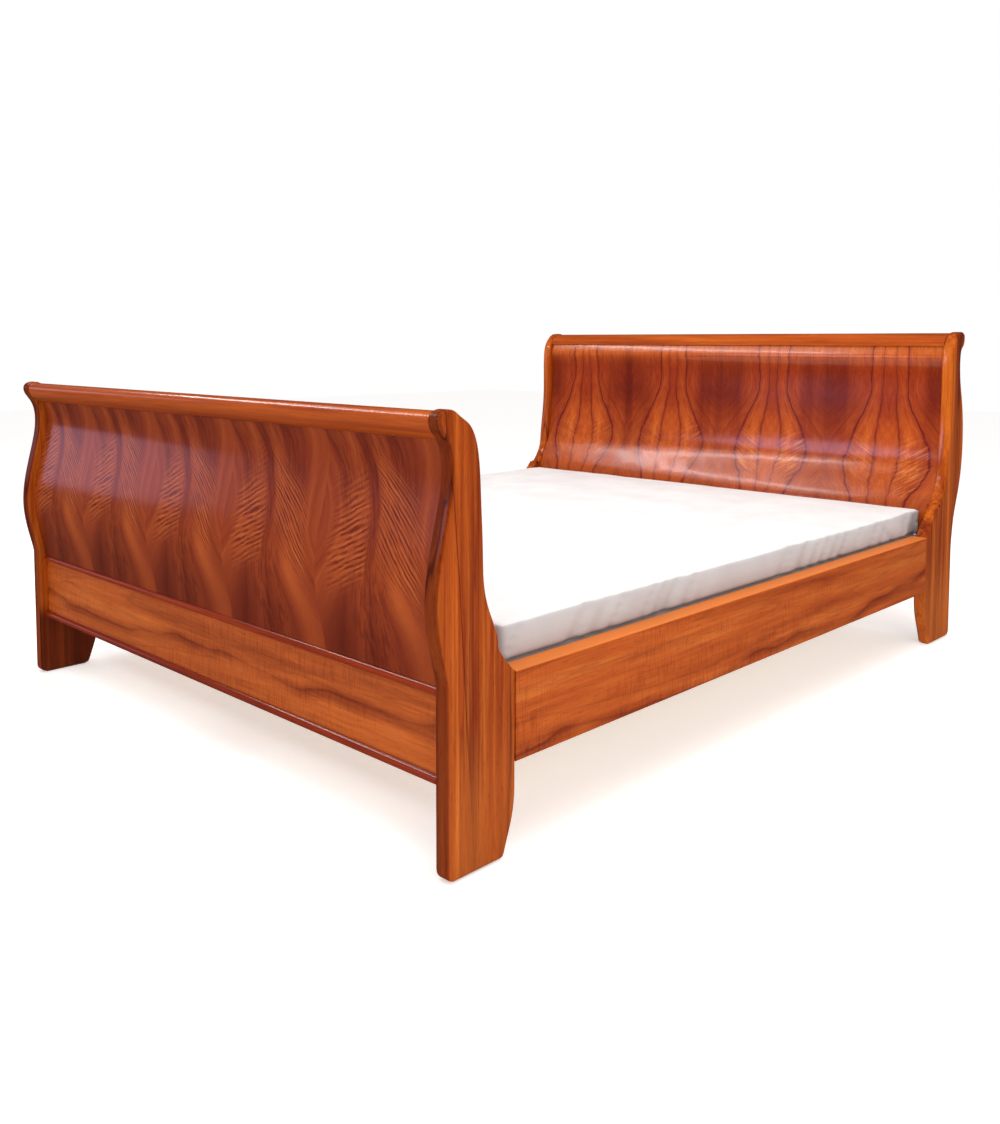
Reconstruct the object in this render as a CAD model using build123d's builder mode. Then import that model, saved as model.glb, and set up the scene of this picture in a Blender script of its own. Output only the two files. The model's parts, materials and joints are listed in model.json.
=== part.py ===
from build123d import *
import os

os.makedirs("parts", exist_ok=True)

# A king-size sleigh bed in polished timber: two scrolled ends, two side rails hooked between
# them, a slatted base on a centre beam, and a mattress that lifts out.
# +Z is up, +Y points to the head end, X is across. The origin is on the floor, under the
# middle of the bed's overall box. Millimetres.

# ---------------------------------------------------------------- driving dimensions
bed_width = 1940
rail_length = 2050  # between the foot posts and the head posts
mattress_width = 1830
mattress_length = 2130
post_thickness = 40
rail_thickness = 52
rail_bottom = 195
rail_top = 386
apron_bottom = 178
apron_top = 379
pad_thickness = 2.5  # felt under each post, so timber starts this far above the floor

# ---------------------------------------------------------------- scrolled end profiles
# Each point is (distance out from the rail's end, height). The foot curls away from the
# mattress at the tip of its roll; the head does the same, taller.
foot_leg_out = 190
foot_outer_curve = [
    (foot_leg_out, 392),
    (199, 432),
    (218, 545),
    (203, 662),
    (184, 740),
    (174, 812),
    (188, 871),
    (207, 906),
]
foot_roll_top = (180, 929)
foot_inner_curve = [
    foot_roll_top,
    (154, 917),
    (130, 901),
    (104, 845),
    (97, 770),
    (91, 640),
    (80, 543),
    (49, 464),
    (0, rail_top),
]
foot_toe = (30, 150)  # how far the inner edge of the leg swings out, and where that starts

head_leg_out = 225
head_outer_curve = [
    (head_leg_out, 330),
    (241, 426),
    (272, 510),
    (297, 598),
    (305, 700),
    (291, 830),
    (271, 901),
    (259, 985),
    (269, 1031),
    (294, 1070),
]
head_roll_top = (266, 1094)
head_inner_curve = [
    head_roll_top,
    (219, 1074),
    (198, 1046),
    (185, 985),
    (185, 860),
    (178, 735),
    (163, 614),
    (124, 505),
    (66, 442),
    (0, rail_top),
]
head_toe = (48, 175)

foot_belly_out = 218
head_belly_out = 305
bed_length = foot_belly_out + rail_length + head_belly_out
foot_joint_y = -bed_length / 2 + foot_belly_out
head_joint_y = bed_length / 2 - head_belly_out

toe_corner_radius = 20  # the leg's outer bottom corner
toe_round = 14  # the rounding of its inner one

# ---------------------------------------------------------------- panels, rolls and aprons
panel_thickness = 24
housing_depth = 10  # how far a panel's edge sits in the groove of its neighbour
tongue_thickness = 8  # loose tongue between a panel and its apron
tongue_height = 20
foot_panel_recess = 22  # behind the outer edge of the foot posts
head_panel_gap = 2  # between the head panel's straight foot and the apron's face
head_panel_bend = 440  # height where the head panel starts to lean back
roll_inset = 4  # the rolls stand this much inside the posts' outline
foot_roll_seat = 866
head_roll_seat = 1040
apron_thickness = 28
foot_apron_recess = 28
head_apron_recess = 115  # out from the rail's end, clear of the mattress
bead_height = 20

# ---------------------------------------------------------------- slatted base
cleat_width = 30
cleat_height = 40
slat_count = 14
slat_width = 90
slat_thickness = 20
cleat_bottom = rail_bottom
slat_bottom = cleat_bottom + cleat_height
mattress_bottom = slat_bottom + slat_thickness + 0.5
mattress_top = 488
mattress_shift = 55  # towards the head, against the panel
mattress_corner_radius = 60
mattress_edge_radius = 45
mattress_bottom_radius = 25
beam_width = 70
beam_height = 40
centre_leg_size = 60
centre_leg_pitch = 650
leg_bolt_radius = 4
leg_bolt_length = 70
glide_radius = 22
glide_height = 10
glide_stem = 20
hanger_steel = 3
hanger_depth = 45
hanger_ear = 30
hanger_screw_length = 26

# ---------------------------------------------------------------- hardware
plate_width = 24
plate_height = 130
plate_thickness = 3
plate_mid_z = (rail_bottom + rail_top) / 2
plate_screw_inset = 7.5  # from the plate's end to the screw
hook_pitch = 60
hook_height = 30
hook_drop = 8
hook_reach = 12
hook_thickness = 4
slot_clearance = 1
pocket_depth = 16
pocket_height = 100
pocket_clearance = 2  # on each side of a hook
screw_radius = 2.5
screw_head_radius = 4.5
screw_head_height = 3
dowel_radius = 6
dowel_length = 60
dowel_in_post = 25
foot_roll_dowels = [(150, 890), (180, 895)]
head_roll_dowels = [(240, 1062), (266, 1068)]
apron_dowel_heights = (225, 335)
plate_screw_length = 25

# ---------------------------------------------------------------- eased edges and small gaps
rail_edge_radius = 2.5
slat_edge_radius = 2
leg_edge_radius = 4
pad_inset = 9  # felt from the long faces of a post
cleat_end_gap = 5
slat_end_gap = 2

# ---------------------------------------------------------------- derived places
pocket_width = hook_thickness + 2 * pocket_clearance
post_x = bed_width / 2 - post_thickness / 2
inner_width = bed_width - 2 * post_thickness
rail_x = bed_width / 2 - rail_thickness / 2
rail_inner_x = bed_width / 2 - rail_thickness
cleat_x = rail_inner_x - cleat_width / 2
cleat_start_y = foot_joint_y + cleat_end_gap
cleat_end_y = head_joint_y + head_apron_recess - 1  # just short of the head apron
slat_length = 2 * rail_inner_x - 2 * slat_end_gap
slat_pitch = (cleat_end_y - cleat_start_y - slat_width) / (slat_count - 1)
beam_end_gap = 4
beam_bottom = slat_bottom - beam_height
beam_mid_z = slat_bottom - beam_height / 2
beam_start_y = foot_joint_y - foot_leg_out + foot_apron_recess + apron_thickness + beam_end_gap
beam_end_y = head_joint_y + head_apron_recess - beam_end_gap
beam_mid_y = (beam_start_y + beam_end_y) / 2
mattress_mid_y = (head_joint_y + foot_joint_y) / 2 + mattress_shift


def end_plane(end, x):
    """Sketch plane across X at x: its x runs outward from the rail's end, its y runs up."""
    if end == "foot":
        return Plane(origin=(x, foot_joint_y, 0), x_dir=(0, -1, 0), z_dir=(-1, 0, 0))
    return Plane(origin=(x, head_joint_y, 0), x_dir=(0, 1, 0), z_dir=(1, 0, 0))


def joint_y(end):
    return foot_joint_y if end == "foot" else head_joint_y


def outward(end):
    return -1 if end == "foot" else 1


def save(builder, name):
    builder.part.label = name
    export_step(builder.part, f"parts/{name}.step")


# ================================================================ shared places
def apron_face_y(end):
    """Y of the apron face that looks at the mattress."""
    if end == "foot":
        return foot_joint_y - (foot_leg_out - foot_apron_recess - apron_thickness)
    return head_joint_y + head_apron_recess


def hanger_screw_planes(end):
    """Screws through the ears of a beam stirrup into the apron, z along the shank."""
    sign = outward(end)
    start_y = apron_face_y(end) - sign * (hanger_steel + screw_head_height)
    x = beam_width / 2 + hanger_ear / 2
    return [
        Plane(origin=(side * x, start_y, beam_mid_z + level * beam_height / 4), z_dir=(0, sign, 0))
        for side in (-1, 1)
        for level in (-1, 1)
    ]


def centre_leg_places():
    """Y of the legs under the beam."""
    return [beam_mid_y + step * centre_leg_pitch for step in (-1, 0, 1)]


def hook_neck_places():
    """Height of the underside of each hook's neck, where it rests in its slot."""
    half_neck = (hook_height - hook_drop) / 2
    return [plate_mid_z + level * hook_pitch / 2 - half_neck for level in (-1, 1)]


def plate_screw_planes(end, side, part_name):
    """Screws of a hook plate into its rail, or of a slot plate into its post."""
    x = post_x if side == "right" else -post_x
    into = outward(end) if part_name == "post" else -outward(end)
    start_y = joint_y(end)
    z_reach = plate_height / 2 - plate_screw_inset
    return [
        Plane(origin=(x, start_y, plate_mid_z + level * z_reach), z_dir=(0, into, 0))
        for level in (-1, 1)
    ]


# ================================================================ end profiles
def post_outline(outer_curve, roll_top, inner_curve, leg_out, toe):
    """Side view of a post: straight outer leg, scroll over the top, flare down to the rail."""
    toe_out, toe_height = toe
    tip = outer_curve[-1]
    foot_z = pad_thickness
    corner = toe_corner_radius
    with BuildSketch() as outline:
        with BuildLine():
            Line((toe_out + toe_round, foot_z), (leg_out - corner, foot_z))
            TangentArc(
                (leg_out - corner, foot_z), (leg_out, foot_z + corner), tangent=(1, 0)
            )
            Line((leg_out, foot_z + corner), outer_curve[0])
            Spline(*outer_curve, tangents=[(0.15, 1), (0.1, 1)])
            Spline(tip, roll_top, tangents=[(0.1, 1), (-1, 0)])
            Spline(*inner_curve, tangents=[(-1, 0), (-0.7, -0.7)])
            Line((0, rail_top), (0, toe_height))
            Spline(
                (0, toe_height),
                (toe_out, foot_z + toe_round),
                (toe_out + toe_round, foot_z),
                tangents=[(0, -1), (1, 0)],
            )
        make_face()
    return outline.sketch


def foot_post_outline():
    return post_outline(foot_outer_curve, foot_roll_top, foot_inner_curve, foot_leg_out, foot_toe)


def head_post_outline():
    return post_outline(head_outer_curve, head_roll_top, head_inner_curve, head_leg_out, head_toe)


def foot_panel_outline():
    """The foot panel follows the outer edge of the posts, set back by its recess."""
    face = [(out - foot_panel_recess, z) for out, z in foot_outer_curve[1:-1]]
    face.insert(0, (foot_leg_out - foot_panel_recess, apron_top))
    back = [(out - panel_thickness, z) for out, z in face]
    with BuildSketch() as outline:
        with BuildLine():
            Spline(*face)
            Line(face[-1], back[-1])
            Spline(*back)
            Line(back[0], face[0])
        make_face()
    return outline.sketch


def head_panel_outline():
    """The head panel follows the inner edge of the posts, then drops straight to the apron."""
    straight_out = head_apron_recess + head_panel_gap
    face = [
        (straight_out, apron_top),
        (straight_out, head_panel_bend),
        (143, 520),
        (183, 614),
        (198, 735),
        (205, 860),
        (205, 985),
        (215, head_roll_seat + housing_depth),
    ]
    back = [(out + panel_thickness, z) for out, z in face]
    with BuildSketch() as outline:
        with BuildLine():
            Spline(*face, tangents=[(0, 1), (0.35, 1)])
            Line(face[-1], back[-1])
            Spline(*back, tangents=[(0, 1), (0.35, 1)])
            Line(back[0], face[0])
        make_face()
    return outline.sketch


def foot_roll_outline():
    """Rounded rail along the top of the foot, slightly inside the outline of the posts."""
    tip_out, tip_z = foot_outer_curve[-1]
    tip = (tip_out - roll_inset, tip_z - 1)
    top = (foot_roll_top[0], foot_roll_top[1] - roll_inset)
    under = (164, foot_roll_seat)
    inside = (116, foot_roll_seat)
    with BuildSketch() as outline:
        with BuildLine():
            Spline(under, (186, 876), tip, tangents=[(1, 0.2), (0.1, 1)])
            Spline(tip, top, tangents=[(0.1, 1), (-1, 0)])
            Spline(top, (155, 913), (133, 897), inside, tangents=[(-1, 0), (-0.35, -1)])
            Line(inside, under)
        make_face()
    return outline.sketch


def head_roll_outline():
    """Cap rail along the top of the head: a nose over the panel, a roll at the back."""
    nose = (204, head_roll_seat + 18)
    under_nose = (205, head_roll_seat + 4)
    tip_out, tip_z = head_outer_curve[-1]
    tip = (tip_out - roll_inset, tip_z - 1)
    top = (head_roll_top[0], head_roll_top[1] - roll_inset)
    back = (268, head_roll_seat)
    with BuildSketch() as outline:
        with BuildLine():
            Line(under_nose, nose)
            Spline(nose, (219, 1074), top, tangents=[(0.4, 1), (1, 0)])
            Spline(top, tip, tangents=[(1, 0), (-0.1, -1)])
            Spline(tip, back, tangents=[(-0.1, -1), (-0.8, -1)])
            Line(back, under_nose)
        make_face()
    return outline.sketch


# ================================================================ posts
def post_dowel_places(end):
    """(out, z) of the dowels that hold the roll and the apron to a post."""
    if end == "foot":
        apron_out = foot_leg_out - foot_apron_recess - apron_thickness / 2
        roll_places = foot_roll_dowels
    else:
        apron_out = head_apron_recess + apron_thickness / 2
        roll_places = head_roll_dowels
    return roll_places + [(apron_out, z) for z in apron_dowel_heights]


def make_post(end, side):
    """One scrolled post with its panel groove, dowel holes and the pocket behind the slots."""
    sign = 1 if side == "right" else -1
    outline = foot_post_outline() if end == "foot" else head_post_outline()
    panel = foot_panel_outline() if end == "foot" else head_panel_outline()
    inner_face_x = sign * inner_width / 2
    with BuildPart() as post:
        with BuildSketch(end_plane(end, sign * post_x)):
            add(outline)
        extrude(amount=post_thickness / 2, both=True)
        with BuildSketch(end_plane(end, inner_face_x)):
            add(panel)
        extrude(amount=housing_depth, both=True, mode=Mode.SUBTRACT)
        with BuildSketch(end_plane(end, inner_face_x)):
            with Locations(*post_dowel_places(end)):
                Circle(dowel_radius)
        extrude(amount=dowel_in_post, both=True, mode=Mode.SUBTRACT)
        with Locations((sign * post_x, joint_y(end), plate_mid_z)):
            Box(plate_width, 2 * plate_thickness, plate_height, mode=Mode.SUBTRACT)
            Box(pocket_width, 2 * pocket_depth, pocket_height, mode=Mode.SUBTRACT)
        with Locations(*plate_screw_planes(end, side, "post")):
            Cylinder(screw_radius, 2 * plate_screw_length, mode=Mode.SUBTRACT)
    save(post, f"{end}_post_{side}")


for end in ("foot", "head"):
    for side in ("left", "right"):
        make_post(end, side)

with BuildPart() as post_felt_pads:
    for end, leg_out, toe in (("foot", foot_leg_out, foot_toe), ("head", head_leg_out, head_toe)):
        pad_start = toe[0] + toe_round
        pad_end = leg_out - toe_corner_radius
        pad_length = pad_end - pad_start
        pad_y = joint_y(end) + outward(end) * (pad_start + pad_end) / 2
        with Locations((-post_x, pad_y, pad_thickness / 2), (post_x, pad_y, pad_thickness / 2)):
            Box(post_thickness - 2 * pad_inset, pad_length, pad_thickness)
save(post_felt_pads, "post_felt_pads")


# ================================================================ curved panels
def tongue_out(end):
    """The loose tongue stands where the panel and the apron's top edge overlap."""
    if end == "foot":
        panel_back = foot_leg_out - foot_panel_recess - panel_thickness
        apron_face = foot_leg_out - foot_apron_recess
        return (panel_back + apron_face) / 2
    return head_apron_recess + apron_thickness / 2


def cut_tongue_groove(end):
    """Groove for the loose tongue, cut in whichever part is being built."""
    with BuildSketch(end_plane(end, 0)) as groove:
        with Locations((tongue_out(end), apron_top)):
            Rectangle(tongue_thickness, tongue_height)
    return groove.sketch


def make_panel(end, outline):
    """A curved, veneered board: housed in the posts and the roll, tongued to the apron."""
    with BuildPart() as panel:
        with BuildSketch(end_plane(end, 0)):
            add(outline)
        extrude(amount=inner_width / 2 + housing_depth, both=True)
        extrude(cut_tongue_groove(end), amount=bed_width / 2, both=True, mode=Mode.SUBTRACT)
    save(panel, f"{end}_panel")
    with BuildPart() as tongue:
        extrude(cut_tongue_groove(end), amount=inner_width / 2, both=True)
    save(tongue, f"{end}_panel_tongue")


make_panel("foot", foot_panel_outline())
make_panel("head", head_panel_outline())


# ================================================================ rolls and their dowels
def make_roll(end, name, outline, panel, dowel_places):
    """A top rail grooved for the panel and drilled for the dowels in both ends."""
    with BuildPart() as roll:
        with BuildSketch(end_plane(end, 0)):
            add(outline)
        extrude(amount=inner_width / 2, both=True)
        with BuildSketch(end_plane(end, 0)):
            add(panel)
        extrude(amount=inner_width / 2, both=True, mode=Mode.SUBTRACT)
        for x in (-inner_width / 2, inner_width / 2):
            with BuildSketch(end_plane(end, x)):
                with Locations(*dowel_places):
                    Circle(dowel_radius)
            extrude(amount=dowel_length - dowel_in_post, both=True, mode=Mode.SUBTRACT)
    save(roll, name)


make_roll("foot", "foot_top_rail", foot_roll_outline(), foot_panel_outline(), foot_roll_dowels)
make_roll("head", "head_cap_rail", head_roll_outline(), head_panel_outline(), head_roll_dowels)


def make_dowels(end):
    """All the dowels of one end, each half in a post and half in the roll or the apron."""
    with BuildPart() as dowels:
        for sign in (-1, 1):
            middle = inner_width / 2 + dowel_in_post - dowel_length / 2
            with BuildSketch(end_plane(end, sign * middle)):
                with Locations(*post_dowel_places(end)):
                    Circle(dowel_radius)
            extrude(amount=dowel_length / 2, both=True)
    save(dowels, f"{end}_dowels")


make_dowels("foot")
make_dowels("head")


# ================================================================ aprons and beads
def make_apron(end, out):
    """The straight board under a panel, grooved along its top edge for the panel."""
    mid_out = out + apron_thickness / 2
    height = apron_top - apron_bottom
    with BuildPart() as apron:
        with BuildSketch(end_plane(end, 0)):
            with Locations((mid_out, apron_bottom + height / 2)):
                Rectangle(apron_thickness, height)
        extrude(amount=inner_width / 2, both=True)
        extrude(cut_tongue_groove(end), amount=inner_width / 2, both=True, mode=Mode.SUBTRACT)
        for x in (-inner_width / 2, inner_width / 2):
            with BuildSketch(end_plane(end, x)):
                with Locations(*[(mid_out, z) for z in apron_dowel_heights]):
                    Circle(dowel_radius)
            extrude(amount=dowel_length - dowel_in_post, both=True, mode=Mode.SUBTRACT)
        with Locations(*hanger_screw_planes(end)):
            Cylinder(screw_radius, 2 * hanger_screw_length, mode=Mode.SUBTRACT)
    save(apron, f"{end}_apron")


make_apron("foot", foot_leg_out - foot_apron_recess - apron_thickness)
make_apron("head", head_apron_recess)


def make_bead(name, bottom_z):
    """Half-round moulding glued along the face of the foot apron."""
    face_out = foot_leg_out - foot_apron_recess
    with BuildPart() as bead:
        with BuildSketch(end_plane("foot", 0)):
            with BuildLine():
                Line((face_out, bottom_z), (face_out, bottom_z + bead_height))
                ThreePointArc(
                    (face_out, bottom_z + bead_height),
                    (face_out + bead_height / 2, bottom_z + bead_height / 2),
                    (face_out, bottom_z),
                )
            make_face()
        extrude(amount=inner_width / 2, both=True)
    save(bead, name)


make_bead("foot_bead_top", apron_top - bead_height)
make_bead("foot_bead_bottom", apron_bottom)


# ================================================================ side rails and cleats
def cleat_screw_places():
    """Y of the screws that hold a cleat to its rail."""
    first = foot_joint_y + cleat_screw_inset
    span = rail_length - 2 * cleat_screw_inset
    return [first + span * i / (cleat_screw_count - 1) for i in range(cleat_screw_count)]


def slat_places():
    """Y of the middle of each slat."""
    return [cleat_start_y + slat_width / 2 + index * slat_pitch for index in range(slat_count)]


cleat_screw_length = 60
cleat_screw_count = 7
cleat_screw_inset = 100
cleat_screw_z = cleat_bottom + cleat_height / 2
slat_screw_length = 35


def make_side_rail(side):
    """A plain board with eased edges, let in at both ends for the hook plates."""
    sign = 1 if side == "right" else -1
    height = rail_top - rail_bottom
    with BuildPart() as rail:
        with Locations((sign * rail_x, (foot_joint_y + head_joint_y) / 2, rail_bottom + height / 2)):
            Box(rail_thickness, rail_length, height)
        fillet(rail.edges().filter_by(Axis.Y), rail_edge_radius)
        for end in ("foot", "head"):
            with Locations((sign * post_x, joint_y(end), plate_mid_z)):
                Box(plate_width, 2 * plate_thickness, plate_height, mode=Mode.SUBTRACT)
            with Locations(*plate_screw_planes(end, side, "rail")):
                Cylinder(screw_radius, 2 * plate_screw_length, mode=Mode.SUBTRACT)
        for y in cleat_screw_places():
            with Locations(Plane(origin=(sign * rail_inner_x, y, cleat_screw_z), z_dir=(sign, 0, 0))):
                Cylinder(
                    screw_radius,
                    cleat_screw_length - cleat_width,
                    align=(Align.CENTER, Align.CENTER, Align.MIN),
                    mode=Mode.SUBTRACT,
                )
    save(rail, f"side_rail_{side}")


def make_cleat(side):
    """The strip along the foot of a rail that carries the ends of the slats."""
    sign = 1 if side == "right" else -1
    length = cleat_end_y - cleat_start_y
    with BuildPart() as cleat:
        with Locations((sign * cleat_x, cleat_start_y + length / 2, cleat_bottom + cleat_height / 2)):
            Box(cleat_width, length, cleat_height)
        for y in cleat_screw_places():
            hole = Plane(
                origin=(sign * (rail_inner_x - cleat_width), y, cleat_screw_z), z_dir=(-sign, 0, 0)
            )
            with Locations(hole):
                CounterBoreHole(screw_radius, screw_head_radius, screw_head_height, cleat_width)
        with Locations(*[(sign * cleat_x, y, slat_bottom) for y in slat_places()]):
            Hole(screw_radius, slat_screw_length - slat_thickness)
    save(cleat, f"slat_cleat_{side}")


for side in ("left", "right"):
    make_side_rail(side)
    make_cleat(side)


def make_screws(name, starts, length):
    """Pan-head screws, one solid at each plane: the plane's z points along the shank."""
    with BuildPart() as screws:
        with Locations(*starts):
            Cylinder(
                screw_head_radius, screw_head_height, align=(Align.CENTER, Align.CENTER, Align.MIN)
            )
            Cylinder(screw_radius, length, align=(Align.CENTER, Align.CENTER, Align.MIN))
    save(screws, name)


cleat_screw_planes = [
    Plane(origin=(sign * (rail_inner_x - cleat_width), y, cleat_screw_z), z_dir=(sign, 0, 0))
    for sign in (-1, 1)
    for y in cleat_screw_places()
]
make_screws("cleat_screws", cleat_screw_planes, cleat_screw_length)


# ================================================================ slats and centre beam
slat_screw_planes = []
for index, slat_y in enumerate(slat_places()):
    with BuildPart() as slat:
        with Locations((0, slat_y, slat_bottom + slat_thickness / 2)):
            Box(slat_length, slat_width, slat_thickness)
        fillet(slat.edges().filter_by(Axis.X), slat_edge_radius)
        with Locations(
            *[Plane((sign * cleat_x, slat_y, slat_bottom + slat_thickness)) for sign in (-1, 1)]
        ):
            CounterBoreHole(screw_radius, screw_head_radius, screw_head_height, slat_thickness)
    save(slat, f"slat_{index + 1:02d}")
    for sign in (-1, 1):
        top = (sign * cleat_x, slat_y, slat_bottom + slat_thickness)
        slat_screw_planes.append(Plane(origin=top, z_dir=(0, 0, -1)))
make_screws("slat_screws", slat_screw_planes, slat_screw_length)

with BuildPart() as centre_beam:
    with Locations((0, beam_mid_y, beam_bottom + beam_height / 2)):
        Box(beam_width, beam_end_y - beam_start_y, beam_height)
    fillet(centre_beam.edges().filter_by(Axis.Y), slat_edge_radius)
    with Locations(*[Plane(origin=(0, y, beam_bottom), z_dir=(0, 0, -1)) for y in centre_leg_places()]):
        Hole(leg_bolt_radius, leg_bolt_length / 2)
save(centre_beam, "centre_beam")


# ================================================================ beam hangers and legs
def make_hanger(end):
    """A folded steel stirrup screwed to an apron: the end of the beam drops into it."""
    sign = outward(end)
    face_y = apron_face_y(end)
    shelf_y = face_y - sign * hanger_depth / 2
    wall_x = beam_width / 2 + hanger_steel / 2
    with BuildPart() as hanger:
        with Locations((0, face_y - sign * hanger_steel / 2, beam_bottom + beam_height / 2)):
            Box(beam_width + 2 * hanger_ear, hanger_steel, beam_height)
        with Locations((0, shelf_y, beam_bottom - hanger_steel / 2)):
            Box(beam_width + 2 * hanger_steel, hanger_depth, hanger_steel)
        with Locations((-wall_x, shelf_y, beam_mid_z), (wall_x, shelf_y, beam_mid_z)):
            Box(hanger_steel, hanger_depth, beam_height)
        with Locations(*hanger_screw_planes(end)):
            Cylinder(screw_radius, hanger_screw_length, mode=Mode.SUBTRACT)
    save(hanger, f"{end}_beam_hanger")


for end in ("foot", "head"):
    make_hanger(end)
make_screws(
    "hanger_screws",
    hanger_screw_planes("foot") + hanger_screw_planes("head"),
    hanger_screw_length,
)

for name, leg_y in zip(("foot", "middle", "head"), centre_leg_places()):
    leg_height = beam_bottom - glide_height
    with BuildPart() as leg:
        with Locations((0, leg_y, glide_height + leg_height / 2)):
            Box(centre_leg_size, centre_leg_size, leg_height)
        fillet(leg.edges().filter_by(Axis.Z), leg_edge_radius)
        with Locations((0, leg_y, beam_bottom)):
            Hole(leg_bolt_radius, leg_bolt_length / 2)
        with Locations(Plane(origin=(0, leg_y, glide_height), z_dir=(0, 0, -1))):
            Hole(leg_bolt_radius, glide_stem)
    save(leg, f"centre_leg_{name}")

with BuildPart() as centre_leg_bolts:
    with Locations(*[(0, leg_y, beam_bottom) for leg_y in centre_leg_places()]):
        Cylinder(leg_bolt_radius, leg_bolt_length)
save(centre_leg_bolts, "centre_leg_bolts")

with BuildPart() as centre_leg_glides:
    with Locations(*[(0, leg_y, 0) for leg_y in centre_leg_places()]):
        Cylinder(glide_radius, glide_height, align=(Align.CENTER, Align.CENTER, Align.MIN))
        Cylinder(
            leg_bolt_radius,
            glide_height + glide_stem,
            align=(Align.CENTER, Align.CENTER, Align.MIN),
        )
save(centre_leg_glides, "centre_leg_glides")


# ================================================================ bed-rail hooks
def add_countersinks(planes, length):
    """Countersunk screw shapes, for the screws themselves or for their holes."""
    with BuildPart(mode=Mode.PRIVATE) as shapes:
        with Locations(*planes):
            Cone(
                screw_head_radius,
                screw_radius,
                plate_thickness,
                align=(Align.CENTER, Align.CENTER, Align.MIN),
            )
            Cylinder(screw_radius, length, align=(Align.CENTER, Align.CENTER, Align.MIN))
    return shapes.part


def make_hook_plate(end, side):
    """Steel plate let into the end of a rail, with two hooks that drop behind the slots."""
    x = post_x if side == "right" else -post_x
    y = joint_y(end)
    sign = outward(end)
    reach = plate_thickness + slot_clearance / 2
    with BuildPart() as plate:
        with Locations((x, y - sign * plate_thickness / 2, plate_mid_z)):
            Box(plate_width, plate_thickness, plate_height)
        for neck_z in hook_neck_places():
            neck_height = hook_height - hook_drop
            with Locations((x, y + sign * hook_reach / 2, neck_z + neck_height / 2)):
                Box(hook_thickness, hook_reach, neck_height)
            tooth = hook_reach - reach
            with Locations((x, y + sign * (reach + tooth / 2), neck_z)):
                Box(hook_thickness, tooth, 2 * hook_drop)
        add(
            add_countersinks(plate_screw_planes(end, side, "rail"), plate_screw_length),
            mode=Mode.SUBTRACT,
        )
    save(plate, f"{end}_rail_hook_{side}")


def make_slot_plate(end, side):
    """Steel plate let into a post, with two slots for the hooks."""
    x = post_x if side == "right" else -post_x
    sign = outward(end)
    y = joint_y(end) + sign * plate_thickness / 2
    slot_height = hook_height + slot_clearance
    with BuildPart() as plate:
        with Locations((x, y, plate_mid_z)):
            Box(plate_width, plate_thickness, plate_height)
        with Locations(*[(x, y, neck_z + slot_height / 2) for neck_z in hook_neck_places()]):
            Box(
                hook_thickness + 2 * slot_clearance,
                plate_thickness,
                slot_height,
                mode=Mode.SUBTRACT,
            )
        add(
            add_countersinks(plate_screw_planes(end, side, "post"), plate_screw_length),
            mode=Mode.SUBTRACT,
        )
    save(plate, f"{end}_post_slots_{side}")


for end in ("foot", "head"):
    for side in ("left", "right"):
        make_hook_plate(end, side)
        make_slot_plate(end, side)

for part_name in ("rail", "post"):
    planes = [
        plane
        for end in ("foot", "head")
        for side in ("left", "right")
        for plane in plate_screw_planes(end, side, part_name)
    ]
    with BuildPart() as plate_screws:
        add(add_countersinks(planes, plate_screw_length))
    save(plate_screws, f"{part_name}_plate_screws")


# ================================================================ mattress
with BuildPart() as mattress:
    height = mattress_top - mattress_bottom
    with Locations((0, mattress_mid_y, mattress_bottom + height / 2)):
        Box(mattress_width, mattress_length, height)
    fillet(mattress.edges().filter_by(Axis.Z), mattress_corner_radius)
    fillet(mattress.faces().sort_by(Axis.Z)[-1].edges(), mattress_edge_radius)
    fillet(mattress.faces().sort_by(Axis.Z)[0].edges(), mattress_bottom_radius)
save(mattress, "mattress")
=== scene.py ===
import json
import math

import bmesh
import bpy
from mathutils import Matrix, Vector, noise


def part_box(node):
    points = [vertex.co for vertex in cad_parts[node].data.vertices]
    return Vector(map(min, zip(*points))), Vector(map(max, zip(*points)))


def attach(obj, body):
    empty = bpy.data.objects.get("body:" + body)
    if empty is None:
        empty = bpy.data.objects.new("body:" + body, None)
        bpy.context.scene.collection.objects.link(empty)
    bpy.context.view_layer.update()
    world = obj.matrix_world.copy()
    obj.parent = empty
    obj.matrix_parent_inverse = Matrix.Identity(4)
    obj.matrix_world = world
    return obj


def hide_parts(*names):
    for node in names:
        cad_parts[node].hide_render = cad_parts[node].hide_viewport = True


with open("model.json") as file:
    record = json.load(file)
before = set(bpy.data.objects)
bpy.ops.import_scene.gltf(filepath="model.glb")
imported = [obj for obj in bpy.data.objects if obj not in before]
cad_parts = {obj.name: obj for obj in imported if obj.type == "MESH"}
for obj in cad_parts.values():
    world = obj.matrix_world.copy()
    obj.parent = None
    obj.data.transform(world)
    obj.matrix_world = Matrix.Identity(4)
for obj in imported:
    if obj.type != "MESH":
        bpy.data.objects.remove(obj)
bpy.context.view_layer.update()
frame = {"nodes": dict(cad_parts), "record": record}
nodes = frame["nodes"]

# A sleigh bed in figured, lacquered timber with a thin white mattress. Metres.
# +Z is up, +Y points to the head end, X is across the bed.
rail_low, rail_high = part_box("side_rail_left")
rail_top = rail_high.z
foot_joint = -rail_low.y  # from the middle of the bed along Y to where the rails meet the foot posts
post_inner_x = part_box("foot_post_right")[0].x


# ------------------------------------------------------------------ camera and light
white = (1, 1, 1, 1)


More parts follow.
